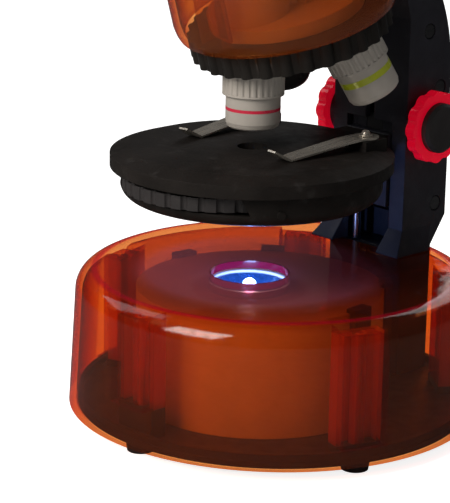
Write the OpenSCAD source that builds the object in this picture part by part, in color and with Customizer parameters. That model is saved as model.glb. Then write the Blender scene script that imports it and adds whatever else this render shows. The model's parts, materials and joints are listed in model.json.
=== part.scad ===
// Children's microscope with a round lit base, a focusing stage and a reversed three-objective turret.
// Origin: centre of the base, on the surface it stands on. +Z up, the eyepiece leans towards -Y,
// the arm stands at +Y. Millimetres.

/* [Base] */
// Radius of the base shell at its lower edge
base_r = 69.4; // [68:0.1:71]
// Height of the base's top
base_h = 50.3; // [50:0.1:51]
// Inward slope of the side, in degrees
base_draft = 3.2; // [3:0.1:4]
// Radius of the rounded top edge
base_edge_r = 7.2; // [6:0.1:8]
// Wall thickness of the translucent shells
shell_t = 2.4; // [2:0.1:2.8]
// Height of the rubber feet
foot_h = 4.3; // [4.2:0.1:4.4]
// Radius of the lamp hole
lamp_hole_r = 12.9; // [11:0.1:13.2]
// Radius of the inner lamp housing
housing_r = 41.5; // [38:0.5:42]

/* [Arm] */
// Width of the arm
arm_w = 34; // [32:1:36]
// Distance of the arm's front face behind the base centre
arm_front = 44; // [44:0.5:45]
// Distance of the arm's rear face behind the base centre
arm_rear = 65.8; // [64:0.1:66]
// Width of the slot that the stage runs in
slot_w = 21; // [20:0.5:22]

/* [Stage] */
// Height of the stage surface
stage_z = 93.9; // [92:0.1:95]
// Radius of the stage's rim
stage_r = 46.6; // [45:0.1:47]
// Radius of the flat top
stage_flat_r = 40; // [38:0.5:41]
// Radius of the light hole
stage_hole_r = 4.93; // [4:0.01:5]
// Radius of the filter disc
filter_r = 33; // [32:0.5:33.5]

/* [Focus] */
// Outer radius of the focus knobs
knob_r = 12.4; // [11.5:0.1:12.8]
// Teeth on the focus pinion
pinion_teeth = 12; // [12:1:12]
// Tooth module of the pinion and rack
tooth_module = 0.8; // [0.8:0.1:0.8]

/* [Turret] */
// Lean of the turret axis, in degrees
turret_tilt = 17; // [16:0.5:18]
// Height of the point where the objective axes meet
apex_z = 184; // [183:0.5:185]
// Outer radius of the turret disc
turret_r = 33.6; // [32:0.1:34]
// Radius of an objective's barrel
barrel_r = 9; // [8.5:0.1:9.2]
// Distance from the apex to the tip of the shortest objective
tip_reach = 83.3; // [82:0.1:83.5]

/* [Eyepiece] */
// Lean of the eyepiece, in degrees
eye_tilt = 45; // [44:1:46]
// Outer radius of the eyepiece tube
eye_tube_r = 13.5; // [13:0.1:13.6]

/* [Hidden] */
$fn = 96;
cut = 0.1;                       // overshoot of a cutting solid
optic_y = -12;                   // the optical axis stands in front of the base centre
plate_z0 = foot_h;               // underside of the base plate
plate_z1 = foot_h + 2;           // its upper face
plate_r = base_r - shell_t - 0.5;
edge_c = base_h - base_edge_r;   // height of the edge circle's centre
edge_x = base_r - (edge_c - foot_h) * tan(base_draft) - base_edge_r / cos(base_draft);
dome_h = 0.7;                    // rise of the top towards its middle
housing_y = -7;
housing_top = 45.6;
led_top = 48.8;
wall = 2;
post_r = 59.5;                   // circle of the base screws and feet
post_angles = [-90, -18, 54, 126, 198];
post_feet = [16, 9, 9, 9, 9];    // where each screw channel ends
channel_w = 16;
channel_d = 7;
channel_t = 1.6;
screw_r = 1.2;
bay_x = 15.6;                    // half width of the battery bay
bay_y0 = -36;
bay_y1 = 22;
knob_x = arm_w / 2 + 2.3;        // inner faces of the knobs
knob_t = 3.8;
cell_r = 7.25;
cell_l = 49.2;
cell_z = 12.8;
door_x = 19;
door_z0 = foot_h - 1.4;
door_t = 1.2;
shaft_y = 53.3;
shaft_z = 94.9;
shaft_r = 2.5;
hub_r = 9.4;                     // round boss between the arm and each knob
hub_t = 2;
run_gap = 0.05;                  // radial clearance of a running shaft
pitch_r = tooth_module * pinion_teeth / 2;
tooth_pitch = PI * tooth_module;
tooth_half = tooth_pitch / 4 - 0.14;
rack_y = shaft_y - pitch_r;      // pitch line of the rack
rail_x = 8.5;                    // the two guide rods of the stage
rail_y = 48.3;
rail_r = 1.5;
arm_x = arm_w / 2;
arm_t = 2.2;
arm_leg = arm_rear - 7;           // rear face of the arm inside the base
arm_arc_z = 110;                 // centre of the arm's rounded back
arm_arc_y = 0.5;
arm_top_h = 33;                   // the arm ends this far from the apex, measured along the turret axis
slot_top = 95.5;
well_z0 = 50.5;                  // the carriage runs between these heights
well_z1 = 112;
arm_screws_yz = [[60.5, 66], [60.5, 107], [54, 127]];
button_z = 78;
button_r = 4;
rim_z0 = stage_z - 6.2;
bowl_r = 43.2;
bowl_z0 = 77.4;
bowl_edge_r = 5;
filter_y = optic_y - 12.5;
filter_z0 = 82.2;
filter_t = 4.4;
rivet_x = 24.7;
rivet_y = optic_y + 27.6;
clip_pad_h = 3.2;
clip_t = 0.6;
clip_turn = 5.6;                 // the clips lean inwards by this angle
head_r = 37.2;
head_rim_r = 36.2;
head_rim_h = 49.4;               // distances along the turret axis from the apex
head_band_h = 37;
head_arc_r = 33;
disc_h0 = 50;
disc_h1 = 58;
seat_h = 49.2;
boss_h = 65.5;                   // distance of the objective seats from the apex
knurl_end = 72.5;
mid_reach = tip_reach + 1;
high_reach = tip_reach + 2.2;
eye_z = 164;                     // height where the eyepiece axis leaves the optical axis
eye_tube_end = 48;
eye_bore_r = eye_tube_r - 1.8;

// ---- helpers ----

// A cylinder along +X from x0 to x1 at (y, z)
module rod_x(x0, x1, y, z, r) {
    translate([x0, y, z]) rotate([0, 90, 0]) cylinder(r = r, h = x1 - x0);
}

// A cylinder along +Y from y0 to y1 at (x, z)
module rod_y(y0, y1, x, z, r) {
    translate([x, y0, z]) rotate([-90, 0, 0]) cylinder(r = r, h = y1 - y0);
}

// A box given by its two corners
module box(a, b) {
    translate(a) cube(b - a);
}

// An extrusion along X of a shape drawn in the YZ plane
module along_x(x0, x1) {
    translate([x0, 0, 0]) rotate([90, 0, 90]) linear_extrude(x1 - x0) children();
}

// A ring around Z
module ring(r_out, r_in, z0, z1) {
    difference() {
        translate([0, 0, z0]) cylinder(r = r_out, h = z1 - z0);
        translate([0, 0, z0 - cut]) cylinder(r = r_in, h = z1 - z0 + 2 * cut);
    }
}

// A disc with a lobed rim; valley_r is the radius between the lobes
module lobed_disc(r, valley_r, lobes, lobe_r, h) {
    cylinder(r = valley_r, h = h);
    for (i = [0 : lobes - 1])
        rotate([0, 0, 360 * i / lobes]) translate([r - lobe_r, 0, 0]) cylinder(r = lobe_r, h = h);
}

// A child placed on the optical axis
module on_optic() {
    translate([0, optic_y, 0]) children();
}

// The turret's own frame: origin at the apex, -Z down the leaning axis
module turret_frame() {
    translate([0, optic_y, apex_z]) rotate([turret_tilt, 0, 0]) children();
}

// The frame of objective i: origin at the apex, -Z down the objective's axis
module objective_frame(i) {
    turret_frame() rotate([0, 0, 120 * i]) rotate([-turret_tilt, 0, 0]) children();
}

// The eyepiece's frame: origin on the optical axis, +Z out of the eyepiece
module eye_frame() {
    translate([0, optic_y, eye_z]) rotate([eye_tilt, 0, 0]) children();
}

module at_posts() {
    for (a = post_angles)
        rotate([0, 0, a]) translate([post_r, 0, 0]) children();
}

// ---- base ----

// Half section of the base's outside, moved inwards by t
module base_section(t) {
    side_x = edge_x + (base_edge_r - t) * cos(base_draft);
    side_z = edge_c + (base_edge_r - t) * sin(base_draft);
    foot_x = side_x + (side_z - foot_h) * tan(base_draft);
    polygon([[0, foot_h], [foot_x, foot_h], [side_x, side_z], [edge_x, base_h - t],
             [0.66 * edge_x, base_h + 0.57 * dome_h - t], [0.33 * edge_x, base_h + 0.9 * dome_h - t],
             [0, base_h + dome_h - t]]);
    translate([edge_x, edge_c]) circle(base_edge_r - t);
}

module base_solid(t) {
    rotate_extrude() base_section(t);
}

// The hollow of the base: its corner is cut in flats
module base_cavity() {
    top_z = base_h - shell_t;
    in_r = base_edge_r - shell_t;
    side_x = edge_x + in_r * cos(base_draft);
    side_z = edge_c + in_r * sin(base_draft);
    rotate_extrude()
        polygon([[0, foot_h - cut], [side_x + (side_z - foot_h + cut) * tan(base_draft), foot_h - cut],
                 [side_x, side_z], [edge_x + in_r * cos(35), edge_c + in_r * sin(35)],
                 [edge_x + in_r * cos(65), edge_c + in_r * sin(65)], [edge_x, top_z],
                 [0.66 * edge_x, top_z + 0.57 * dome_h], [0.33 * edge_x, top_z + 0.9 * dome_h],
                 [0, top_z + dome_h]]);
}

// A screw channel: a box open below with a screw boss in it
module screw_channel(z0) {
    difference() {
        box([-channel_d / 2, -channel_w / 2, z0], [channel_d + 2, channel_w / 2, base_h - shell_t + 0.4]);
        box([-channel_d / 2 + channel_t, -channel_w / 2 + channel_t, z0 - cut],
            [channel_d / 2 + 1, channel_w / 2 - channel_t, base_h - 2 * shell_t]);
    }
    ring(2.6, screw_r + run_gap, z0, base_h - 2 * shell_t);
}

module base_shell() color([0.93, 0.38, 0.06, 0.55]) {
    difference() {
        union() {
            difference() {
                base_solid(0);
                base_cavity();
            }
            intersection() {
                base_solid(shell_t / 2);
                for (i = [0 : len(post_angles) - 1])
                    rotate([0, 0, post_angles[i]]) translate([post_r, 0, 0]) screw_channel(post_feet[i]);
            }
        }
        on_optic() translate([0, 0, base_h - 8]) cylinder(r = lamp_hole_r, h = 12);
        box([-arm_x - 0.2, arm_front - 0.2, edge_c - 2], [arm_x + 0.2, arm_leg + 0.2, base_h + 3]);
    }
}

module plate_hook() {
    box([housing_r + 0.3, -4, plate_z0 + 1], [housing_r + 2.7, 4, housing_top + 1.4]);
    box([housing_r - 1.2, -4, housing_top + 0.1], [housing_r + 2.7, 4, housing_top + 1.4]);
}

module base_plate() color([0.09, 0.085, 0.085]) {
    difference() {
        union() {
            translate([0, 0, plate_z0]) cylinder(r = plate_r, h = plate_z1 - plate_z0);
            ring(plate_r - 0.4, plate_r - 2, plate_z1 - cut, plate_z1 + 2.4);
            for (i = [0 : len(post_angles) - 1])
                rotate([0, 0, post_angles[i]])
                    box([post_r - channel_d / 2, -channel_w / 2, plate_z0 + 1],
                        [post_r + channel_d / 2 - 1, channel_w / 2, post_feet[i]]);
            for (a = [5, 50, 130, 175])
                translate([0, housing_y, 0]) rotate([0, 0, a]) plate_hook();
            door_rails();
        }
        box([-bay_x, bay_y0, plate_z0 - cut], [bay_x, bay_y1, plate_z1 + cut]);
        at_posts() translate([0, 0, plate_z0 - cut]) cylinder(r = 2.8, h = 1.4 + cut);
        at_posts() translate([0, 0, plate_z0]) cylinder(r = 1.4, h = 20);
    }
}

// Two rails under the plate hold the battery door's edges
module door_rails() {
    for (side = [0, 1]) mirror([side, 0, 0]) {
        box([door_x + 0.3, bay_y0 - 4, door_z0 - 0.7], [door_x + 2, bay_y1 + 4, plate_z0 + 0.2]);
        box([door_x - 1.2, bay_y0 - 4, door_z0 - 0.7], [door_x + 2, bay_y1 + 4, door_z0 - 0.2]);
    }
}

module rubber_feet() color([0.05, 0.05, 0.05]) {
    at_posts() cylinder(r1 = 4.4, r2 = 5, h = foot_h);
}

module base_screws() color([0.6, 0.6, 0.62]) {
    for (i = [0 : len(post_angles) - 1])
        rotate([0, 0, post_angles[i]]) translate([post_r, 0, 0]) {
            translate([0, 0, plate_z0 + 0.1]) cylinder(r = 2.5, h = 1.3);
            translate([0, 0, plate_z0 + 1.3]) cylinder(r = screw_r, h = post_feet[i] + 8 - plate_z0);
        }
}

module lamp_housing() color([0.86, 0.84, 0.82]) {
    difference() {
        translate([0, housing_y, plate_z1]) cylinder(r = housing_r, h = housing_top - plate_z1);
        translate([0, housing_y, plate_z1 - cut])
            cylinder(r = housing_r - wall, h = housing_top - plate_z1 - wall + cut);
        on_optic() translate([0, 0, 38]) cylinder(r = 13.7, h = 10);
    }
    for (a = [30, 150, 270]) on_optic() rotate([0, 0, a]) {
        box([10.5, -1.6, 39.8], [16, 1.6, 40.8]);
        box([14, -1.6, 39.8], [16, 1.6, housing_top - 1]);
    }
}

// ---- batteries and lamp ----

module battery_tray() color([0.8, 0.79, 0.77]) {
    difference() {
        box([-bay_x - 1.9, bay_y0 - 2, plate_z1], [bay_x + 1.9, bay_y1 + 2, 23]);
        box([-bay_x, bay_y0, plate_z1 - cut], [bay_x, bay_y1, 21.4]);
    }
}

module battery_cell() {
    rod_y(bay_y0 + 6.9, bay_y0 + 6.9 + cell_l, 0, 0, cell_r);
    rod_y(bay_y0 + 6.9 + cell_l, bay_y0 + 8.2 + cell_l, 0, 0, 2.7);
}

module battery_cells() color([0.35, 0.5, 0.3]) {
    translate([-7.7, 0, cell_z]) battery_cell();
    translate([7.7, bay_y0 + bay_y1, cell_z]) rotate([0, 0, 180]) battery_cell();
}

module battery_contact() {
    box([-5, bay_y0 + 0.05, 7], [5, bay_y0 + 0.5, 18]);
    translate([0, bay_y0 + 0.45, cell_z]) rotate([-90, 0, 0]) cylinder(r1 = 4.2, r2 = 2.2, h = 6.3);
}

module battery_contacts() color([0.75, 0.72, 0.6]) {
    translate([-7.7, 0, 0]) battery_contact();
    translate([7.7, bay_y0 + bay_y1, 0]) rotate([0, 0, 180]) battery_contact();
    box([-12.7, bay_y1 - 0.4, 7], [-2.7, bay_y1 - 0.05, 18]);
    box([2.7, bay_y0 + 0.05, 7], [12.7, bay_y0 + 0.4, 18]);
}

module battery_door() color([0.1, 0.095, 0.095]) {
    box([-door_x, bay_y0 - 3.4, door_z0], [door_x, bay_y1 + 3.4, door_z0 + door_t]);
    for (i = [0 : 4])
        box([-8, bay_y1 - 6 + 1.8 * i, door_z0 - 0.5], [8, bay_y1 - 5.1 + 1.8 * i, door_z0 + 0.1]);
}

module led_board() color([0.1, 0.35, 0.16]) {
    on_optic() translate([0, 0, 38.1]) cylinder(r = 11.5, h = 1.6);
}

module led() color([0.85, 0.93, 1.0, 0.8]) {
    on_optic() {
        translate([0, 0, 39.7]) cylinder(r = 2.9, h = 1.2);
        translate([0, 0, 40.5]) cylinder(r = 2.5, h = led_top - 43);
        translate([0, 0, led_top - 2.5]) sphere(2.5);
    }
}

// Half section of the reflector, a shallow bowl around the LED
module dish_section() {
    difference() {
        intersection() {
            translate([0, 56.2]) circle(14.6);
            translate([3, 40.9]) square([9.2, 6.5]);
        }
        translate([0, 56.8]) circle(14.2);
    }
}

module lamp_dish() color([0.12, 0.25, 0.62]) {
    on_optic() rotate_extrude() dish_section();
}

module lamp_collar() color([0.55, 0.53, 0.53]) {
    on_optic() {
        ring(13.55, 12.35, 42, base_h - shell_t);
        ring(13.55, 11.6, 40.9, 42.2);
    }
}

// ---- arm ----

// Height of the plane across the turret axis at distance h from the apex, at the given y
function across_turret(h, y) = apex_z - (h - (y - optic_y) * sin(turret_tilt)) / cos(turret_tilt);

// Side view of the arm, before the head's seat is taken out
module arm_side() {
    difference() {
        union() {
            polygon([[arm_front - 2, plate_z1], [arm_leg, plate_z1], [arm_leg, base_h + 1],
                     [arm_rear, base_h + 11], [arm_rear, arm_arc_z], [arm_front - 2, arm_arc_z]]);
            intersection() {
                translate([arm_arc_y, arm_arc_z]) circle(arm_rear - arm_arc_y);
                translate([0, arm_arc_z - cut]) square(80);
            }
        }
        polygon([[-80, 0], [arm_front, 0], [arm_front, 132], [arm_front - 5.5, 150], [12, 150],
                 [12, across_turret(arm_top_h, 12)], [base_r, across_turret(arm_top_h, base_r)],
                 [base_r, 200], [-80, 200]]);
    }
}

// The flared skirt at the arm's foot, right side
module arm_skirt() {
    hull() {
        box([slot_w / 2, arm_front - 6, base_h + 0.4], [arm_x + 3.5, arm_leg - 5, base_h + 0.7]);
        box([slot_w / 2, arm_front, base_h + 8], [arm_x, arm_leg, base_h + 8.3]);
    }
}

module arm_hollow() {
    box([-arm_x + arm_t, arm_front + arm_t, base_h + 10], [arm_x - arm_t, arm_rear - arm_t, well_z1]);
    box([-arm_x + arm_t, arm_front + arm_t, well_z0], [arm_x - arm_t, arm_leg - arm_t, base_h + 11]);
    box([-arm_x + arm_t, arm_front + arm_t, 9], [arm_x - arm_t, arm_leg - arm_t, 45]);
    box([-arm_x + arm_t, arm_front + arm_t, 115], [arm_x - arm_t, 59, 139]);
    box([-slot_w / 2, arm_front - 8, base_h], [slot_w / 2, arm_front + arm_t + cut, slot_top]);
    box([-2, arm_front - 8, slot_top - cut], [2, arm_front + arm_t + cut, slot_top + 12]);
}

module arm_bosses() {
    for (p = arm_screws_yz) rod_x(-arm_x + 1, arm_x - 1, p[0], p[1], 3.4);
}

module arm_bores() {
    rod_x(-arm_x - hub_t - 1, arm_x + hub_t + 1, shaft_y, shaft_z, 4.5);
    for (s = [-1, 1]) translate([s * rail_x, rail_y, well_z0 - 4.5]) cylinder(r = rail_r, h = 70);
    for (p = arm_screws_yz) {
        rod_x(-arm_x + 4, arm_x + 1, p[0], p[1], screw_r + run_gap);
        rod_x(arm_x - 1.6, arm_x + 1, p[0], p[1], 2.7);
    }
    rod_y(arm_rear - 6, arm_rear + 3, 0, button_z, button_r + run_gap);
}

// One half of the arm; side is 1 on the right and -1 on the left
module arm_half(side) {
    difference() {
        union() {
            difference() {
                union() {
                    along_x(-arm_x, arm_x) arm_side();
                    arm_skirt();
                    mirror([1, 0, 0]) arm_skirt();
                    rod_x(-arm_x - hub_t, arm_x + hub_t, shaft_y, shaft_z, hub_r);
                }
                arm_hollow();
            }
            arm_bosses();
        }
        arm_bores();
        head_solid(0);
        head_neck(0.1);
        box([min(0, -side * 60), -80, -5], [max(0, -side * 60), 90, 220]);
    }
}

module arm_left() color([0.13, 0.13, 0.14]) arm_half(-1);
module arm_right() color([0.13, 0.13, 0.14]) arm_half(1);

module arm_screws() color([0.6, 0.6, 0.62]) {
    for (p = arm_screws_yz) {
        rod_x(arm_x - 1.5, arm_x - 0.2, p[0], p[1], 2.4);
        rod_x(-arm_x + 5, arm_x - 1.4, p[0], p[1], screw_r);
    }
}

module guide_rods() color([0.75, 0.76, 0.78]) {
    for (s = [-1, 1]) translate([s * rail_x, rail_y, well_z0 - 4.5]) cylinder(r = rail_r, h = 68);
}

module shaft_bushes() color([0.72, 0.55, 0.25]) {
    for (s = [-1, 1]) translate([s * (arm_x - 1), shaft_y, shaft_z]) rotate([0, 90, 0])
        ring(4.5, shaft_r + run_gap, -3, 3);
}

module switch_body() color([0.12, 0.12, 0.13]) {
    box([-6, 52, button_z - 6], [6, 60, button_z + 6]);
    for (s = [-1, 1]) box([s * 10 - 4.7, 58, button_z - 4], [s * 10 + 4.7, 59.5, button_z + 4]);
}

module power_button() color([0.75, 0.05, 0.12]) {
    rod_y(arm_rear - 4.4, arm_rear + 0.4, 0, button_z, button_r);
    rod_y(arm_rear + 0.3, arm_rear + 1.4, 0, button_z, button_r - 0.6);
}

// ---- head ----

// The outside of the head, moved inwards by t
module head_section(t) {
    polygon([[0, -head_rim_h], [head_rim_r - t, -head_rim_h], [head_r - 0.4 - t, -head_rim_h + 1.6],
             [head_r - t, -head_rim_h + 4], [head_r - t, -head_band_h], [0, -head_band_h]]);
    intersection() {
        union() {
            translate([head_r - head_arc_r, -head_band_h]) circle(head_arc_r - t);
            translate([0, -head_band_h]) square([head_r - head_arc_r, head_arc_r - t]);
        }
        translate([0, -head_band_h - cut]) square(80);
    }
}

module head_solid(t) {
    turret_frame() rotate_extrude() head_section(t);
}

// Everything on the turret's side of the seat plane, moved away from the seat by gap
module below_seat(gap) {
    turret_frame() translate([-100, -100, -seat_h - 100 - gap]) cube([200, 200, 100]);
}

// The neck that ties the head frame to the arm
module head_neck(gap) {
    difference() {
        box([-11 - gap, 0, 140], [11 + gap, arm_front + 1 + gap, 155 + gap]);
        below_seat(gap);
    }
}

module head_shell() color([0.93, 0.38, 0.06, 0.55]) {
    difference() {
        union() {
            difference() {
                head_solid(0);
                head_solid(shell_t);
                turret_frame() translate([0, 0, -head_rim_h - 1]) cylinder(r = head_rim_r - shell_t, h = 1.2);
            }
            intersection() {
                head_solid(shell_t / 2);
                turret_frame() translate([0, -32.4, -47]) ring(5.8, 4.4, 0, 40);
            }
        }
        head_neck(0.1);
        eye_frame() cylinder(r = eye_tube_r, h = 60);
    }
}

module head_frame() color([0.86, 0.84, 0.82]) {
    difference() {
        union() {
            head_neck(0);
            turret_frame() translate([0, 0, -seat_h]) cylinder(r = 25.8, h = 4.5);
            turret_frame() translate([0, 0, -45]) cylinder(r = 7, h = 8);
            on_optic() translate([0, 0, 128]) cylinder(r = 11, h = 30);
            box([-11, optic_y - 11, 154], [11, optic_y + 13, 170]);
        }
        below_seat(0);
        on_optic() translate([0, 0, 120]) cylinder(r = 8, h = 40);
        box([-8.6, optic_y - 8.6, 155.5], [8.6, optic_y + 8.6, 172]);
        eye_frame() translate([0, 0, 9]) cylinder(r = eye_tube_r, h = 60);
        turret_frame() translate([0, 0, -60]) cylinder(r = 3, h = 22);
        turret_frame() translate([0, -22, -48.3]) sphere(1.65);
        turret_frame() translate([0, -22, -seat_h - 1]) cylinder(r = 1.65, h = 1);
    }
}

module prism() color([0.8, 0.9, 0.95, 0.4]) {
    along_x(-8.4, 8.4)
        polygon([[optic_y - 8, 155.7], [optic_y + 8, 155.7], [optic_y + 8, 169.5], [optic_y + 2, 169.5],
                 [optic_y - 8, 160]]);
}

module eyepiece_tube() color([0.13, 0.13, 0.14]) {
    eye_frame() {
        ring(eye_tube_r, eye_bore_r, 9.1, eye_tube_end);
        ring(eye_tube_r + 0.9, eye_tube_r - 0.5, 30, 31.5);
    }
}

module turret_pivot() color([0.7, 0.7, 0.72]) {
    turret_frame() {
        translate([0, 0, -disc_h1 - 0.5]) cylinder(r = 3, h = 20);
        translate([0, 0, -disc_h1 - 2.4]) cylinder(r = 5, h = 2);
    }
}

module detent_ball() color([0.8, 0.8, 0.82]) {
    turret_frame() translate([0, -22, -48.3]) sphere(1.4);
}

// ---- stage ----

module stage_top() color([0.12, 0.115, 0.115]) {
    difference() {
        union() {
            on_optic() rotate_extrude()
                polygon([[0, stage_z - 3], [bowl_r - 1, stage_z - 3], [bowl_r - 1, rim_z0], [stage_r, rim_z0],
                         [stage_r, stage_z - 2], [stage_flat_r, stage_z], [0, stage_z]]);
            for (s = [-1, 1])
                box([s * rivet_x - 5, rivet_y - 5, stage_z - 1],
                    [s * rivet_x + 5, rivet_y + 5, stage_z + clip_pad_h]);
        }
        on_optic() translate([0, 0, stage_z - 10]) cylinder(r = stage_hole_r, h = 20);
        for (s = [-1, 1]) {
            translate([s * rivet_x, rivet_y, rim_z0]) cylinder(r = 1.5, h = 20);
            box([s * rivet_x - 2.6, rivet_y - 7, stage_z + 0.6],
                [s * rivet_x - 1.6, rivet_y - 4.2, stage_z + 6]);
        }
        translate([0, filter_y, rim_z0]) cylinder(r = 2, h = 3.8);
    }
}

// Half section of the bowl; t moves it inwards and top is its upper end
module stage_bowl_section(t, top) {
    polygon([[0, bowl_z0 + t], [bowl_r - bowl_edge_r, bowl_z0 + t], [bowl_r - t, bowl_z0 + bowl_edge_r],
             [bowl_r - t, top], [0, top]]);
    translate([bowl_r - bowl_edge_r, bowl_z0 + bowl_edge_r]) circle(bowl_edge_r - t);
}

// The opening at the front that shows the filter disc's edge
module filter_slot() {
    translate([0, optic_y - 25, 0]) rotate([90, 0, 0]) linear_extrude(30)
        polygon([[-28.6, rim_z0 + cut], [28.6, rim_z0 + cut], [31, filter_z0 - 0.6], [-31, filter_z0 - 0.6]]);
}

module stage_bottom() color([0.12, 0.115, 0.115]) {
    difference() {
        union() {
            difference() {
                union() {
                    on_optic() rotate_extrude() stage_bowl_section(0, rim_z0);
                    box([-9.8, optic_y + 38, bowl_z0 + 1], [9.8, arm_front - 1.2, rim_z0 + 3.5]);
                }
                on_optic() rotate_extrude() stage_bowl_section(wall, rim_z0 + 5);
                on_optic() translate([0, 0, rim_z0]) cylinder(r = stage_r + 0.2, h = 10);
                filter_slot();
            }
            translate([0, filter_y, bowl_z0 + 1]) cylinder(r = 5, h = filter_z0 - bowl_z0 - 1.2);
            on_optic() ring(8.5, 6, bowl_z0 + 1, bowl_z0 + 3.6);
            on_optic() rotate([0, 0, -31.3]) rod_x(bowl_r - 3, bowl_r + 0.5, 0, 81.8, 1.4);
        }
        translate([0, filter_y, bowl_z0 + 0.6]) cylinder(r = 2, h = 10);
        on_optic() translate([0, 0, bowl_z0 - cut]) cylinder(r = 5.2, h = 3);
        on_optic() translate([0, 0, bowl_z0 + 0.8]) cylinder(r = 6, h = 5);
        for (a = [0, 90, 180, 270])
            on_optic() rotate([0, 0, a + 25]) translate([36, 0, bowl_z0 - cut]) cylinder(r = 2.4, h = 1.4);
    }
}

module stage_screws() color([0.6, 0.6, 0.62]) {
    for (a = [0, 90, 180, 270])
        on_optic() rotate([0, 0, a + 25]) translate([36, 0, bowl_z0 + 0.2]) cylinder(r = 2.3, h = 1.1);
}

module stage_carriage() color([0.2, 0.2, 0.21]) {
    difference() {
        union() {
            box([-9.8, arm_front - 1.1, 66], [9.8, arm_front + 2.6, 91.5]);
            box([-12, arm_front + 2.6, 66], [12, rail_y + 2.1, 97]);
        }
        box([-3.7, arm_front + 2.5, 65], [3.7, rail_y + 3, 98]);
        for (s = [-1, 1]) translate([s * rail_x, rail_y, 60]) cylinder(r = rail_r + run_gap, h = 40);
    }
}

// Trapezoid of a tooth, point up: half widths at root, pitch line and tip
module tooth(root, tip) {
    slope = 0.364;
    polygon([[-tooth_half - slope * root, -root], [tooth_half + slope * root, -root],
             [tooth_half - slope * tip, tip], [-tooth_half + slope * tip, tip]]);
}

module focus_rack() color([0.8, 0.8, 0.78]) {
    along_x(-3.5, 3.5) {
        translate([arm_front + 2.65, 66.2]) square([rack_y - tooth_module - arm_front - 2.65, 30.6]);
        for (i = [-11 : -1])
            translate([rack_y, shaft_z + (i + 0.5) * tooth_pitch]) rotate(-90)
                tooth(1.2 * tooth_module, 0.9 * tooth_module);
    }
}

module condenser_lens() color([0.85, 0.92, 0.98, 0.4]) {
    on_optic() translate([0, 0, bowl_z0 + 0.9]) cylinder(r = 5.95, h = 2);
}

module clip_rivets() color([0.8, 0.8, 0.82]) {
    for (s = [-1, 1]) translate([s * rivet_x, rivet_y, 0]) {
        translate([0, 0, rim_z0 + 1]) cylinder(r = 1.5, h = stage_z + clip_pad_h - rim_z0);
        translate([0, 0, stage_z + clip_pad_h + clip_t + 0.2]) cylinder(r = 2.3, h = 0.5);
        translate([0, 0, stage_z + clip_pad_h + clip_t + 0.7]) intersection() {
            sphere(1.5);
            box([-2, -2, -0.3], [2, 2, 2]);
        }
    }
}

module filter_pivot() color([0.7, 0.7, 0.72]) {
    translate([0, filter_y, bowl_z0 + 0.7]) cylinder(r = 2, h = stage_z - bowl_z0 - 3.4);
}

// Side view of a clip: flat on its pad, sloping down, with a turned-up tip
module clip_side() {
    z = stage_z + clip_pad_h + 0.1;
    polygon([[-5, z], [5, z], [10, z - 0.3], [31, stage_z + 0.6], [33.5, stage_z + 0.2], [35.5, stage_z + 1],
             [39.6, stage_z + 3.6], [39.2, stage_z + 4.1], [35, stage_z + 1.7], [33.4, stage_z + 0.8],
             [31, stage_z + 1.2], [10, z + 0.3], [5, z + clip_t], [-5, z + clip_t]]);
}

// A spring clip with its rivet hole at the origin, running towards -Y
module clip() {
    difference() {
        intersection() {
            rotate([90, 0, -90]) translate([0, 0, -6]) linear_extrude(12) clip_side();
            translate([0, 0, 80]) linear_extrude(40) {
                circle(4.4);
                polygon([[-4, 1], [4, 1], [3.4, -30], [2.5, -36], [1.7, -40], [-1.7, -40], [-2.5, -36],
                         [-3.4, -30]]);
            }
        }
        translate([0, 0, 80]) cylinder(r = 1.5 + run_gap, h = 40);
    }
}

module clip_left() color([0.78, 0.77, 0.75]) {
    translate([-rivet_x, rivet_y, 0]) rotate([0, 0, clip_turn]) clip();
}

module clip_right() color([0.78, 0.77, 0.75]) {
    translate([rivet_x, rivet_y, 0]) rotate([0, 0, -clip_turn]) clip();
}

// Places a child at window i of the filter disc; window 0 is on the optical axis
module filter_window(i) {
    translate([0, filter_y, 0]) rotate([0, 0, 72 * i]) translate([0, optic_y - filter_y, 0]) children();
}

module filter_disc() color([0.16, 0.155, 0.155]) {
    difference() {
        translate([0, filter_y, filter_z0]) cylinder(r = filter_r, h = filter_t);
        translate([0, filter_y, filter_z0 - cut]) cylinder(r = 2 + run_gap, h = filter_t + 1);
        for (i = [0, 2, 3, 4])
            filter_window(i) translate([0, 0, filter_z0 - cut]) cylinder(r = 4.6, h = filter_t + 1);
        filter_window(1) translate([0, 0, filter_z0 - cut]) cylinder(r = 2.5, h = filter_t + 1);
        for (i = [2, 3, 4])
            filter_window(i) translate([0, 0, filter_z0 + 2]) cylinder(r = 5.5, h = filter_t);
        for (i = [0 : 35])
            translate([0, filter_y, filter_z0 - cut]) rotate([0, 0, 10 * i + 5])
                translate([filter_r + 0.5, 0, 0]) cylinder(r = 1.3, h = filter_t + 1);
    }
}

module filter_gel(i) {
    filter_window(i) translate([0, 0, filter_z0 + 2]) cylinder(r = 5.45, h = 0.8);
}

module filter_red() color([0.9, 0.1, 0.1, 0.5]) filter_gel(2);
module filter_green() color([0.1, 0.7, 0.2, 0.5]) filter_gel(3);
module filter_blue() color([0.1, 0.3, 0.9, 0.5]) filter_gel(4);

// ---- focus drive ----

module focus_shaft() color([0.75, 0.76, 0.78]) {
    rod_x(-knob_x - 4.5, knob_x + 4.5, shaft_y, shaft_z, shaft_r);
}

module focus_pinion() color([0.85, 0.85, 0.82]) {
    translate([-3.2, shaft_y, shaft_z]) rotate([90, 0, 90]) difference() {
        linear_extrude(6.4) {
            circle(pitch_r - tooth_module);
            for (i = [0 : pinion_teeth - 1])
                rotate(180 + 360 * i / pinion_teeth) translate([pitch_r, 0]) rotate(-90)
                    tooth(1.2 * tooth_module, 0.9 * tooth_module);
        }
        translate([0, 0, -cut]) cylinder(r = shaft_r, h = 7);
    }
}

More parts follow.
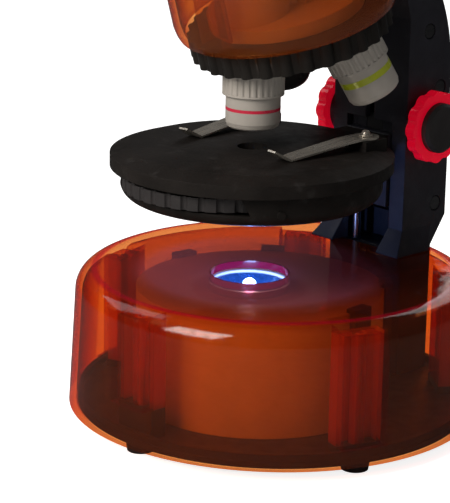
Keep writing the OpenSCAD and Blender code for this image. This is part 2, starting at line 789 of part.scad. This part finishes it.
// A knob's rim on the right side, from its inner face outwards
module knob_rim(side) {
    translate([side * knob_x, shaft_y, shaft_z]) rotate([0, 90 * side, 0]) difference() {
        lobed_disc(knob_r, knob_r - 0.8, 12, 3.3, knob_t);
        translate([0, 0, -cut]) cylinder(r = shaft_r, h = knob_t + 1);
        translate([0, 0, 1.6]) cylinder(r = 8.6, h = knob_t);
    }
}

module knob_cap(side) {
    translate([side * (knob_x + 1.6), shaft_y, shaft_z]) rotate([0, 90 * side, 0]) difference() {
        union() {
            cylinder(r = 8.5, h = 4);
            translate([0, 0, 4 - cut]) cylinder(r1 = 8.5, r2 = 7.4, h = 1);
        }
        translate([0, 0, -cut]) cylinder(r = shaft_r, h = 3 + cut);
    }
}

module knob_rim_left() color([0.85, 0.0, 0.25]) knob_rim(-1);
module knob_rim_right() color([0.85, 0.0, 0.25]) knob_rim(1);
module knob_cap_left() color([0.18, 0.17, 0.17]) knob_cap(-1);
module knob_cap_right() color([0.18, 0.17, 0.17]) knob_cap(1);

// ---- turret and objectives ----

module turret_disc() color([0.1, 0.095, 0.095]) {
    difference() {
        union() {
            turret_frame() translate([0, 0, -disc_h1])
                lobed_disc(turret_r, turret_r - 1.1, 30, 2.5, disc_h1 - disc_h0);
            intersection() {
                for (i = [0 : 2]) objective_frame(i) translate([0, 0, -boss_h]) cylinder(r = 10.6, h = 10);
                turret_frame() translate([0, 0, -100]) cylinder(r = turret_r, h = 100 - disc_h1 + 1);
            }
        }
        turret_frame() translate([0, 0, -disc_h1 - 8]) cylinder(r = 3 + run_gap, h = 20);
        for (i = [0 : 2]) objective_frame(i) translate([0, 0, -boss_h - 1]) cylinder(r = 7, h = 30);
    }
}

// An objective down to its tip; the band's groove is cut at band_at above the tip
module objective(reach, band_at, band_w) {
    tip_r = barrel_r - 0.7;
    difference() {
        union() {
            translate([0, 0, -boss_h]) cylinder(r = 7, h = 7);
            translate([0, 0, -knurl_end]) difference() {
                cylinder(r = 10.15, h = knurl_end - boss_h);
                for (k = [0 : 29])
                    rotate([0, 0, 12 * k]) translate([10.55, 0, 0.7])
                        cylinder(r = 0.75, h = knurl_end - boss_h - 1.4);
            }
            translate([0, 0, -reach + 1.8]) cylinder(r = barrel_r, h = reach - knurl_end - 1.8);
            rotate_extrude() polygon([[0, -reach], [tip_r - 0.4, -reach], [tip_r + 0.2, -reach + 0.5],
                                      [barrel_r, -reach + 1.9], [0, -reach + 1.9]]);
        }
        translate([0, 0, -reach - cut]) cylinder(r = 4, h = reach);
        translate([0, 0, -reach - cut]) cylinder(r = 5.2, h = 0.9);
        translate([0, 0, -reach + band_at]) ring(barrel_r + 1, barrel_r - 0.4, 0, band_w);
    }
}

module objective_band(reach, band_at, band_w) {
    translate([0, 0, -reach + band_at]) ring(barrel_r + 0.04, barrel_r - 0.4, 0, band_w);
}

module objective_low() color([0.78, 0.76, 0.74]) objective_frame(0) objective(tip_reach, 5.8, 1);
module objective_low_band() color([0.8, 0.05, 0.12]) objective_frame(0)
    objective_band(tip_reach, 5.8, 1);
module objective_mid() color([0.78, 0.76, 0.74]) objective_frame(1) objective(mid_reach, 6.8, 2.2);
module objective_mid_band() color([0.7, 0.75, 0.1]) objective_frame(1)
    objective_band(mid_reach, 6.8, 2.2);
module objective_high() color([0.1, 0.1, 0.1]) objective_frame(2) objective(high_reach, 8.8, 1.2);
module objective_high_band() color([0.1, 0.3, 0.8]) objective_frame(2)
    objective_band(high_reach, 8.8, 1.2);

module objective_lenses() color([0.85, 0.92, 0.98, 0.4]) {
    reach = [tip_reach, mid_reach, high_reach];
    for (i = [0 : 2]) objective_frame(i) translate([0, 0, 1 - reach[i]]) cylinder(r = 4, h = 1.6);
}

// ---- eyepiece ----

module eyepiece_barrel() color([0.13, 0.13, 0.14]) {
    eye_frame() {
        ring(eye_bore_r - 0.08, 9.8, 22, eye_tube_end + 0.5);
        ring(14.2, 9.8, eye_tube_end + 0.3, 53);
        ring(13, 9.8, 53 - cut, 56);
    }
}

module eyecup() color([0.06, 0.06, 0.06]) {
    eye_frame() difference() {
        union() {
            translate([0, 0, 53]) cylinder(r = 15.2, h = 4);
            translate([0, 0, 57 - cut]) cylinder(r1 = 15.2, r2 = 14.4, h = 4);
        }
        translate([0, 0, 52]) cylinder(r = 13, h = 4);
        translate([0, 0, 55]) cylinder(r = 9.8, h = 3);
        translate([0, 0, 57]) cylinder(r1 = 9.8, r2 = 12.8, h = 4.2);
    }
}

module eyepiece_lenses() color([0.85, 0.92, 0.98, 0.4]) {
    eye_frame() {
        translate([0, 0, 50]) cylinder(r = 9.8, h = 3);
        translate([0, 0, 24]) cylinder(r = 9.8, h = 2);
    }
}

base_shell();
base_plate();
rubber_feet();
base_screws();
lamp_housing();
battery_tray();
battery_cells();
battery_contacts();
battery_door();
led_board();
led();
lamp_dish();
lamp_collar();
arm_left();
arm_right();
arm_screws();
guide_rods();
shaft_bushes();
switch_body();
power_button();
head_shell();
head_frame();
prism();
eyepiece_tube();
turret_pivot();
detent_ball();
stage_top();
stage_bottom();
stage_carriage();
focus_rack();
condenser_lens();
stage_screws();
clip_rivets();
filter_pivot();
clip_left();
clip_right();
filter_disc();
filter_red();
filter_green();
filter_blue();
focus_shaft();
focus_pinion();
knob_rim_left();
knob_cap_left();
knob_rim_right();
knob_cap_right();
turret_disc();
objective_low();
objective_low_band();
objective_mid();
objective_mid_band();
objective_high();
objective_high_band();
objective_lenses();
eyepiece_barrel();
eyecup();
eyepiece_lenses();
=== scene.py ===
import json
import math

import bpy
from mathutils import Matrix, Vector


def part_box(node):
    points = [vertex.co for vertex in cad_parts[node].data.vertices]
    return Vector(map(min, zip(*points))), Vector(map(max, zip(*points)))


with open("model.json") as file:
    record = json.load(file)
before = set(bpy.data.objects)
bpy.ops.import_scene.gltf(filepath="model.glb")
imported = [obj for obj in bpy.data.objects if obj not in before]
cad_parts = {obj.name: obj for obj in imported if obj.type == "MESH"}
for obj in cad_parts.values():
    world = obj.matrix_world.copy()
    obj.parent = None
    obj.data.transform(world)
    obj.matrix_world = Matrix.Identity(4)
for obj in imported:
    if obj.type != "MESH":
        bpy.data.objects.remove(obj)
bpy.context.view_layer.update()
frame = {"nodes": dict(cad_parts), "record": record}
nodes = frame["nodes"]
scene = bpy.context.scene
scene.view_settings.view_transform = "Standard"

# ---- node helpers ----


def new_material(name):
    m = bpy.data.materials.new(name)
    m.use_nodes = True
    m.node_tree.nodes.clear()
    return m, m.node_tree


def add(tree, kind, **values):
    n = tree.nodes.new(kind)
    for key, value in values.items():
        setattr(n, key, value)
    return n


def noise(tree, coord, scale, detail=3.0, stretch=None):
    if stretch:
        mp = add(tree, "ShaderNodeMapping")
        mp.inputs["Scale"].default_value = stretch
        tree.links.new(coord, mp.inputs["Vector"])
        coord = mp.outputs["Vector"]
    n = add(tree, "ShaderNodeTexNoise")
    n.inputs["Scale"].default_value = scale
    n.inputs["Detail"].default_value = detail
    tree.links.new(coord, n.inputs["Vector"])
    return n.outputs["Fac"]


def span(tree, value, lo, hi, out_lo, out_hi):
    """Maps value from lo..hi to out_lo..out_hi, clamped."""
    n = add(tree, "ShaderNodeMapRange")
    n.inputs["From Min"].default_value = lo
    n.inputs["From Max"].default_value = hi
    n.inputs["To Min"].default_value = out_lo
    n.inputs["To Max"].default_value = out_hi
    tree.links.new(value, n.inputs["Value"])
    return n.outputs["Result"]


def mix_colour(tree, fac, a, b):
    n = add(tree, "ShaderNodeMix", data_type="RGBA")
    for socket, value in ((n.inputs[0], fac), (n.inputs[6], a), (n.inputs[7], b)):
        if isinstance(value, bpy.types.NodeSocket):
            tree.links.new(value, socket)
        else:
            socket.default_value = value
    return n.outputs[2]


def shade(c, k):
    return (min(c[0] * k, 1), min(c[1] * k, 1), min(c[2] * k, 1), 1)


def detail_normal(tree, coord, grain, bump, bevel, stretch=None):
    """Fine grain and a soft broken edge, as a normal."""
    b = add(tree, "ShaderNodeBump")
    b.inputs["Strength"].default_value = bump
    b.inputs["Distance"].default_value = 0.0002
    tree.links.new(noise(tree, coord, grain, 2.0, stretch), b.inputs["Height"])
    if bevel:
        edge = add(tree, "ShaderNodeBevel", samples=4)
        edge.inputs["Radius"].default_value = bevel
        tree.links.new(edge.outputs["Normal"], b.inputs["Normal"])
    return b.outputs["Normal"]


def finish_of(name, colour, rough, metal=0.0, spec=0.5, grain=1500, bump=0.15, vary=0.18, rough_vary=0.1,
              bevel=0.0003, wear=0.0, stretch=None, coat=0.0, sub=0.0):
    """A moulded, turned or painted finish: mottled colour, uneven gloss, fine grain and worn edges."""
    m, t = new_material(name)
    coord = add(t, "ShaderNodeTexCoord").outputs["Object"]
    mottle = noise(t, coord, 70, 5.0, stretch)
    c = mix_colour(t, span(t, mottle, 0.3, 0.7, 0, 1), shade(colour, 1 - vary), shade(colour, 1 + vary))
    if wear:
        rubbed = span(t, noise(t, coord, 160, 6.0), 0.6, 0.72, 0, wear)
        c = mix_colour(t, rubbed, c, shade([0.12 + v for v in colour], 1.6))
    s = add(t, "ShaderNodeBsdfPrincipled")
    t.links.new(c, s.inputs["Base Color"])
    smudge = noise(t, coord, 240, 4.0, stretch)
    smoothest = max(rough - rough_vary, 0.03)
    t.links.new(span(t, smudge, 0.3, 0.7, smoothest, rough + rough_vary), s.inputs["Roughness"])
    s.inputs["Metallic"].default_value = metal
    s.inputs["Specular IOR Level"].default_value = spec
    s.inputs["Coat Weight"].default_value = coat
    s.inputs["Coat Roughness"].default_value = 0.12
    if sub:
        s.inputs["Subsurface Weight"].default_value = sub
        s.inputs["Subsurface Scale"].default_value = 0.003
    t.links.new(detail_normal(t, coord, grain, bump, bevel, stretch), s.inputs["Normal"])
    out = add(t, "ShaderNodeOutputMaterial")
    t.links.new(s.outputs[0], out.inputs["Surface"])
    return m


def math_node(tree, operation, *values):
    n = add(tree, "ShaderNodeMath", operation=operation, use_clamp=True)
    for socket, value in zip(n.inputs, values):
        if isinstance(value, bpy.types.NodeSocket):
            tree.links.new(value, socket)
        else:
            socket.default_value = value
    return n.outputs[0]


def skin(tree):
    """Share of light that a glossy skin reflects, alike from inside and outside: most at a graze."""
    facing = add(tree, "ShaderNodeLayerWeight")
    facing.inputs["Blend"].default_value = 0.5
    graze = math_node(tree, "POWER", facing.outputs["Facing"], 5.0)
    return span(tree, graze, 0, 1, 0.045, 0.85)


def clear_plastic(name, body, tint, solid, rough=0.05, bevel=0.0006, haze=0.05, zones=None, glow=0.0,
                  flat_from=None):
    """Translucent moulded plastic: a glossy skin over a tinted body that shows what is behind it.

    zones(tree, coord) lists (factor, body colour, tint, solid share) for places with a thicker wall.
    Above the height flat_from the wall lies flat, and a slanting look through it takes less tint.
    """
    m, t = new_material(name)
    coord = add(t, "ShaderNodeTexCoord").outputs["Object"]
    flow = span(t, noise(t, coord, 22, 4.0, (1, 1, 0.35)), 0.3, 0.7, 0, 1)
    body_c = mix_colour(t, flow, shade(body, 0.82), shade(body, 1.18))
    tint_c = mix_colour(t, flow, shade(tint, 0.95), shade(tint, 1.03))
    share = span(t, noise(t, coord, 420, 5.0, (1, 1, 3)), 0.5, 0.8, solid, solid + haze)
    for factor, zone_body, zone_tint, zone_solid in (zones(t, coord) if zones else []):
        body_c = mix_colour(t, factor, body_c, shade(zone_body, 1))
        tint_c = mix_colour(t, factor, tint_c, shade(zone_tint, 1))
        share = math_node(t, "MAXIMUM", share, math_node(t, "MULTIPLY", factor, zone_solid))
    slant = add(t, "ShaderNodeLayerWeight")
    slant.inputs["Blend"].default_value = 0.5
    long_way = span(t, slant.outputs["Facing"], 0.5, 0.82, 0, 1)
    if flat_from:
        apart = add(t, "ShaderNodeSeparateXYZ")
        t.links.new(coord, apart.inputs[0])
        side = span(t, apart.outputs["Z"], flat_from - 0.001, flat_from, 1, 0)
        long_way = math_node(t, "MAXIMUM", math_node(t, "MULTIPLY", long_way, side),
                             math_node(t, "POWER", slant.outputs["Facing"], 4.0))
    deep = tint_c
    for _ in range(2):
        deep = mix_colour(t, 1.0, deep, deep)
        deep.node.blend_type = "MULTIPLY"
    tint_c = mix_colour(t, long_way, tint_c, deep)
    normal = detail_normal(t, coord, 90, 0.02, bevel)
    lit = add(t, "ShaderNodeBsdfPrincipled")
    lit.inputs["Roughness"].default_value = 0.5
    lit.inputs["Specular IOR Level"].default_value = 0.0
    # Painted light: glow gives off the body colour as emission, a painted glow on plastic that is no lamp.
    if glow:
        t.links.new(body_c, lit.inputs["Emission Color"])
        lit.inputs["Emission Strength"].default_value = glow
    through = add(t, "ShaderNodeBsdfTranslucent")
    clear = add(t, "ShaderNodeBsdfTransparent")
    gloss = add(t, "ShaderNodeBsdfGlossy")
    t.links.new(body_c, lit.inputs["Base Color"])
    t.links.new(body_c, through.inputs["Color"])
    t.links.new(tint_c, clear.inputs["Color"])
    scuffs = noise(t, coord, 300, 5.0, (1, 1, 2))
    t.links.new(span(t, scuffs, 0.45, 0.75, rough, rough + 0.2), gloss.inputs["Roughness"])
    t.links.new(normal, gloss.inputs["Normal"])
    last = None
    for fac, one, two in ((0.45, lit, through), (share, clear, None), (skin(t), None, gloss)):
        mx = add(t, "ShaderNodeMixShader")
        if isinstance(fac, float):
            mx.inputs[0].default_value = fac
        else:
            t.links.new(fac, mx.inputs[0])
        t.links.new((one or last).outputs[0], mx.inputs[1])
        t.links.new((two or last).outputs[0], mx.inputs[2])
        last = mx
    out = add(t, "ShaderNodeOutputMaterial")
    t.links.new(last.outputs[0], out.inputs["Surface"])
    return m


def glass(name, tint, rough=0.02):
    m, t = new_material(name)
    coord = add(t, "ShaderNodeTexCoord").outputs["Object"]
    s = add(t, "ShaderNodeBsdfPrincipled")
    s.inputs["Transmission Weight"].default_value = 1.0
    s.inputs["IOR"].default_value = 1.5
    smear = noise(t, coord, 300, 4.0)
    t.links.new(mix_colour(t, smear, shade(tint, 0.95), shade(tint, 1.03)), s.inputs["Base Color"])
    t.links.new(span(t, smear, 0.5, 0.8, rough, rough + 0.12), s.inputs["Roughness"])
    out = add(t, "ShaderNodeOutputMaterial")
    t.links.new(s.outputs[0], out.inputs["Surface"])
    return m


def radial(tree, coord, centre):
    """Distance from a vertical line through centre."""
    sub = add(tree, "ShaderNodeVectorMath", operation="SUBTRACT")
    sub.inputs[1].default_value = (centre[0], centre[1], 0)
    flat = add(tree, "ShaderNodeVectorMath", operation="MULTIPLY")
    flat.inputs[1].default_value = (1, 1, 0)
    length = add(tree, "ShaderNodeVectorMath", operation="LENGTH")
    tree.links.new(coord, sub.inputs[0])
    tree.links.new(sub.outputs[0], flat.inputs[0])
    tree.links.new(flat.outputs[0], length.inputs[0])
    return length.outputs["Value"]


def centre_of(node):
    lo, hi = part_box(node)
    return (lo + hi) / 2


optic = centre_of("led")
HOLE_R = 0.0129  # radius of the lamp hole in the base shell


def dish_with_painted_glow(name):
    """Blue mirror-like reflector with a painted glow near the lamp: emission strongest at the axis, broken
    into painted glare rays.
    """
    m, t = new_material(name)
    coord = add(t, "ShaderNodeTexCoord").outputs["Object"]
    r = radial(t, coord, optic)
    s = add(t, "ShaderNodeBsdfPrincipled")
    s.inputs["Metallic"].default_value = 0.85
    c = mix_colour(t, noise(t, coord, 400, 3.0), (0.01, 0.05, 0.16, 1), (0.05, 0.16, 0.42, 1))
    t.links.new(c, s.inputs["Base Color"])
    t.links.new(span(t, noise(t, coord, 700, 3.0), 0.3, 0.7, 0.12, 0.3), s.inputs["Roughness"])
    t.links.new(detail_normal(t, coord, 900, 0.2, 0), s.inputs["Normal"])
    # Painted light: the dish is no lamp, yet it gives off blue emission near the lamp as painted glow and
    # glare.
    s.inputs["Emission Color"].default_value = (0.10, 0.24, 1.0, 1)
    painted_glare_rays = span(t, noise(t, coord, 1100, 1.0, (1, 1, 0.1)), 0.45, 0.65, 0.35, 2.2)
    near = add(t, "ShaderNodeMath", operation="MULTIPLY")
    t.links.new(span(t, r, 0.0025, 0.0075, 1.6, 0.02), near.inputs[0])
    t.links.new(painted_glare_rays, near.inputs[1])
    t.links.new(near.outputs[0], s.inputs["Emission Strength"])
    out = add(t, "ShaderNodeOutputMaterial")
    t.links.new(s.outputs[0], out.inputs["Surface"])
    return m


def lamp(name):
    """The LED's clear body, lit from inside: white at its middle, blue towards its rim."""
    m, t = new_material(name)
    coord = add(t, "ShaderNodeTexCoord").outputs["Object"]
    r = radial(t, coord, optic)
    s = add(t, "ShaderNodeBsdfPrincipled")
    s.inputs["Roughness"].default_value = 0.1
    s.inputs["Base Color"].default_value = (0.7, 0.85, 1, 1)
    c = mix_colour(t, span(t, r, 0.0008, 0.0026, 0, 1), (0.75, 0.9, 1.0, 1), (0.2, 0.45, 1.0, 1))
    t.links.new(c, s.inputs["Emission Color"])
    apart = add(t, "ShaderNodeSeparateXYZ")
    t.links.new(coord, apart.inputs[0])
    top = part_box("led")[1].z
    dome = span(t, apart.outputs["Z"], top - 0.0035, top - 0.0008, 0.1, 1.0)
    power = add(t, "ShaderNodeMath", operation="MULTIPLY")
    t.links.new(span(t, noise(t, coord, 900, 2.0), 0.2, 0.8, 3.0, 5.0), power.inputs[0])
    t.links.new(dome, power.inputs[1])
    t.links.new(power.outputs[0], s.inputs["Emission Strength"])
    out = add(t, "ShaderNodeOutputMaterial")
    t.links.new(s.outputs[0], out.inputs["Surface"])
    return m


def base_zones(tree, coord):
    """The base shell: mauve over the lamp housing, dense orange screw channels, a crimson line along
    the top edge and a dark crimson edge round the lamp hole."""
    apart = add(tree, "ShaderNodeSeparateXYZ")
    tree.links.new(coord, apart.inputs[0])
    z = apart.outputs["Z"]
    r = radial(tree, coord, (0, 0))
    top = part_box("base_shell")[1]
    inner = math_node(tree, "MULTIPLY", span(tree, r, top.x - 0.0072, top.x - 0.0078, 0, 1),
                      span(tree, z, top.z - 0.0048, top.z - 0.0054, 0, 1))
    line = math_node(tree, "MULTIPLY", span(tree, r, top.x - 0.0104, top.x - 0.0092, 0, 1),
                     span(tree, r, top.x - 0.0066, top.x - 0.0080, 0, 1))
    line = math_node(tree, "MULTIPLY", line, span(tree, z, top.z - 0.0020, top.z - 0.0014, 0, 1))
    house = centre_of("lamp_housing")
    near = radial(tree, coord, (house.x, house.y))
    over = math_node(tree, "MULTIPLY", span(tree, near, 0.038, 0.046, 1, 0),
                     span(tree, z, top.z - 0.004, top.z - 0.003, 0, 1))
    rim = span(tree, radial(tree, coord, optic), HOLE_R + 0.0003, HOLE_R + 0.0008, 1, 0)
    return [(over, (0.5, 0.15, 0.24), (0.95, 0.62, 0.42), 0.34),
            (inner, (0.75, 0.13, 0.005), (1.0, 0.5, 0.12), 0.45),
            (line, (0.55, 0.008, 0.03), (1.0, 0.22, 0.2), 0.5),
            (rim, (0.2, 0.004, 0.02), (0.6, 0.08, 0.15), 0.75)]


# ---- finishes by material slot ----

FINISH = {
    "orange_clear": clear_plastic("orange_head_look", (0.46, 0.14, 0.03), (0.93, 0.6, 0.3), 0.18),
    "black_base": finish_of("black_base_look", (0.022, 0.019, 0.019), 0.42, bump=0.2),
    "rubber_black": finish_of("rubber_look", (0.018, 0.017, 0.017), 0.8, spec=0.25, grain=2200, bump=0.35,
                              wear=0.15),
    "steel_screw": finish_of("screw_look", (0.09, 0.09, 0.095), 0.35, metal=1.0, stretch=(1, 1, 6),
                             grain=900),
    "light_housing": finish_of("housing_look", (0.62, 0.56, 0.5), 0.55, bump=0.12, vary=0.08, sub=0.1,
                               bevel=0.0006),
    "cell_wrap": finish_of("cell_look", (0.06, 0.14, 0.06), 0.25, coat=0.6, vary=0.3),
    "contact_metal": finish_of("contact_look", (0.7, 0.6, 0.38), 0.3, metal=1.0),
    "board_green": finish_of("board_look", (0.015, 0.09, 0.035), 0.4, coat=0.4, grain=700, vary=0.35),
    "led_clear": lamp("led_look"),
    "dish_chrome": dish_with_painted_glow("dish_look"),
    "collar_grey": finish_of("collar_look", (0.36, 0.33, 0.33), 0.45, bump=0.1, bevel=0.0004),
    "arm_dark": finish_of("arm_look", (0.02, 0.02, 0.028), 0.5, spec=0.3, grain=1700, bump=0.3, wear=0.05,
                          bevel=0.0007),
    "switch_dark": finish_of("switch_look", (0.03, 0.03, 0.035), 0.5),
    "button_red": finish_of("button_look", (0.5, 0.012, 0.04), 0.28, coat=0.3, grain=1200, vary=0.12,
                            bevel=0.0004),
    "brass_bush": finish_of("brass_look", (0.65, 0.44, 0.16), 0.28, metal=1.0, stretch=(8, 1, 1),
                            grain=800),
    "rod_steel": finish_of("rod_look", (0.56, 0.57, 0.59), 0.2, metal=1.0, stretch=(1, 1, 0.2), grain=1400),
    "prism_glass": glass("prism_look", (0.86, 0.93, 0.96)),
    "lens_glass": glass("lens_look", (0.85, 0.93, 0.97)),
    "stage_black": finish_of("stage_look", (0.013, 0.0108, 0.0095), 0.6, spec=0.1, grain=1100, bump=0.5,
                             vary=0.3, wear=0.05, bevel=0.0004),
    "dark_nylon": finish_of("nylon_look", (0.03, 0.03, 0.032), 0.4, spec=0.3),
    "clip_steel": finish_of("clip_look", (0.5, 0.46, 0.4), 0.3, metal=0.75, stretch=(6, 0.6, 1), grain=1300,
                            bump=0.12, bevel=0.0001),
    "gel_red": clear_plastic("gel_red_look", (0.4, 0.01, 0.01), (0.95, 0.1, 0.08), 0.25, bevel=0),
    "gel_green": clear_plastic("gel_green_look", (0.01, 0.3, 0.05), (0.1, 0.85, 0.25), 0.25, bevel=0),
    "gel_blue": clear_plastic("gel_blue_look", (0.01, 0.06, 0.4), (0.1, 0.3, 0.95), 0.25, bevel=0),
    # The crimson knobs take a painted glow (emission) that stands in for light shining through them from
    # behind.
    "knob_crimson": clear_plastic("knob_crimson_look", (0.85, 0.006, 0.045), (1.0, 0.12, 0.2), 0.75,
                                  rough=0.12, glow=0.5),
    "knob_dark": finish_of("knob_dark_look", (0.028, 0.025, 0.025), 0.5, spec=0.3, bump=0.3),
    "turret_black": finish_of("turret_look", (0.017, 0.015, 0.013), 0.48, spec=0.16, bump=0.3, vary=0.25,
                              bevel=0.0005),
    "objective_grey": finish_of("objective_look", (0.42, 0.385, 0.34), 0.38, bump=0.1, vary=0.07,
                                bevel=0.0003),
    "objective_black": finish_of("objective_dark_look", (0.03, 0.029, 0.028), 0.35, bump=0.1, bevel=0.0003),
    "band_red": finish_of("band_red_look", (0.62, 0.012, 0.05), 0.3, coat=0.4, bevel=0, vary=0.1),
    "band_yellow": finish_of("band_yellow_look", (0.45, 0.5, 0.02), 0.3, coat=0.4, bevel=0, vary=0.1),
    "band_blue": finish_of("band_blue_look", (0.02, 0.1, 0.5), 0.3, coat=0.4, bevel=0, vary=0.1),
    "ball_steel": finish_of("ball_look", (0.6, 0.6, 0.62), 0.12, metal=1.0),
}

BY_NODE = {
    "base_shell": clear_plastic("orange_base_look", (0.42, 0.085, 0.01), (0.95, 0.58, 0.29), 0.06,
                                zones=base_zones, flat_from=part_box("base_shell")[1].z - 0.004),
}

for part in frame["record"]["subparts"]:
    node = nodes[part["node"]]
    node.data.materials.clear()
    node.data.materials.append(BY_NODE.get(part["node"], FINISH[part["material_slot"]]))

# ---- floor, light and camera ----

FLOOR_HALF = 40            # m
FLOOR_GREY = 0.8
FLOOR_GLOW = 0.85          # keeps the far floor as pale as the backdrop
SKY_DIFFUSE = 0.17         # what the backdrop gives as light
SKY_GLOSS = 0.05           # and as reflections
CAMERA_AT = (0.4847, -0.4801, 0.2524)
CAMERA_AIM = (-0.6993, 0.6589, -0.2774)
CAMERA_ROLL = 0.0174       # radians
CAMERA_LENS = 151.3        # mm, on a 36 mm sensor
AIM = (0, 0, 0.08)


def grey(value):
    return (value, value, value, 1)


floor_mesh = bpy.data.meshes.new("floor")
corners = ((-1, -1), (1, -1), (1, 1), (-1, 1))
floor_mesh.from_pydata([(x * FLOOR_HALF, y * FLOOR_HALF, 0) for x, y in corners], [], [(0, 1, 2, 3)])
floor = bpy.data.objects.new("floor", floor_mesh)
scene.collection.objects.link(floor)
floor_look, ft = new_material("floor_look")
fd = add(ft, "ShaderNodeBsdfDiffuse")
fe = add(ft, "ShaderNodeEmission")
path = add(ft, "ShaderNodeLightPath")
ft.links.new(span(ft, path.outputs["Is Glossy Ray"], 0, 1, FLOOR_GREY, 0.2), fd.inputs["Color"])
ft.links.new(span(ft, path.outputs["Is Camera Ray"], 0, 1, 0.0, FLOOR_GLOW), fe.inputs["Strength"])
fa = add(ft, "ShaderNodeAddShader")
ft.links.new(fd.outputs[0], fa.inputs[0])
ft.links.new(fe.outputs[0], fa.inputs[1])
ft.links.new(fa.outputs[0], add(ft, "ShaderNodeOutputMaterial").inputs["Surface"])
floor_mesh.materials.append(floor_look)

world = bpy.data.worlds.new("studio")
scene.world = world
world.use_nodes = True
wt = world.node_tree
sky = wt.nodes["Background"]
sky.inputs["Color"].default_value = grey(1.0)
wp = add(wt, "ShaderNodeLightPath")
ambient = span(wt, wp.outputs["Is Glossy Ray"], 0, 1, SKY_DIFFUSE, SKY_GLOSS)
bright = add(wt, "ShaderNodeMath", operation="MAXIMUM")
wt.links.new(ambient, bright.inputs[0])
wt.links.new(wp.outputs["Is Camera Ray"], bright.inputs[1])
wt.links.new(bright.outputs[0], sky.inputs["Strength"])


def area(name, place, at, size, power, colour=(1, 1, 1)):
    light = bpy.data.lights.new(name, "AREA")
    light.shape = "RECTANGLE"
    light.size, light.size_y = size
    light.energy = power
    light.color = colour
    o = bpy.data.objects.new(name, light)
    scene.collection.objects.link(o)
    o.location = place
    o.rotation_euler = (Vector(at) - Vector(place)).to_track_quat("-Z", "Y").to_euler()
    return o


area("key", (-0.032, -0.781, 0.582), (0.027, -0.06, 0.047), (0.5, 0.5), 7.5, (1.0, 0.95, 0.9))
area("rim", (-0.9, -0.2, 0.9), AIM, (0.6, 0.6), 2.0)
area("back", (-0.35, 0.9, 0.6), AIM, (0.6, 0.6), 2.0)

glow = bpy.data.lights.new("lamp_glow", "POINT")
glow.energy = 0.055
glow.color = (0.25, 0.42, 1.0)
glow.shadow_soft_size = 0.002
glow_at = bpy.data.objects.new("lamp_glow", glow)
glow_at.location = (optic.x, optic.y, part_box("led")[1].z + 0.003)
scene.collection.objects.link(glow_at)

cam = bpy.data.cameras.new("camera")
cam.lens = CAMERA_LENS
cam.sensor_width = 36.0
cam_at = bpy.data.objects.new("camera", cam)
scene.collection.objects.link(cam_at)
scene.camera = cam_at
forward = Vector(CAMERA_AIM).normalized()
right = forward.cross(Vector((0, 0, 1))).normalized()
up = right.cross(forward)
cos_roll = math.cos(CAMERA_ROLL)
sin_roll = math.sin(CAMERA_ROLL)
right, up = right * cos_roll + up * sin_roll, up * cos_roll - right * sin_roll
rotation = Matrix((right, up, -forward)).transposed().to_4x4()
cam_at.matrix_world = Matrix.Translation(CAMERA_AT) @ rotation
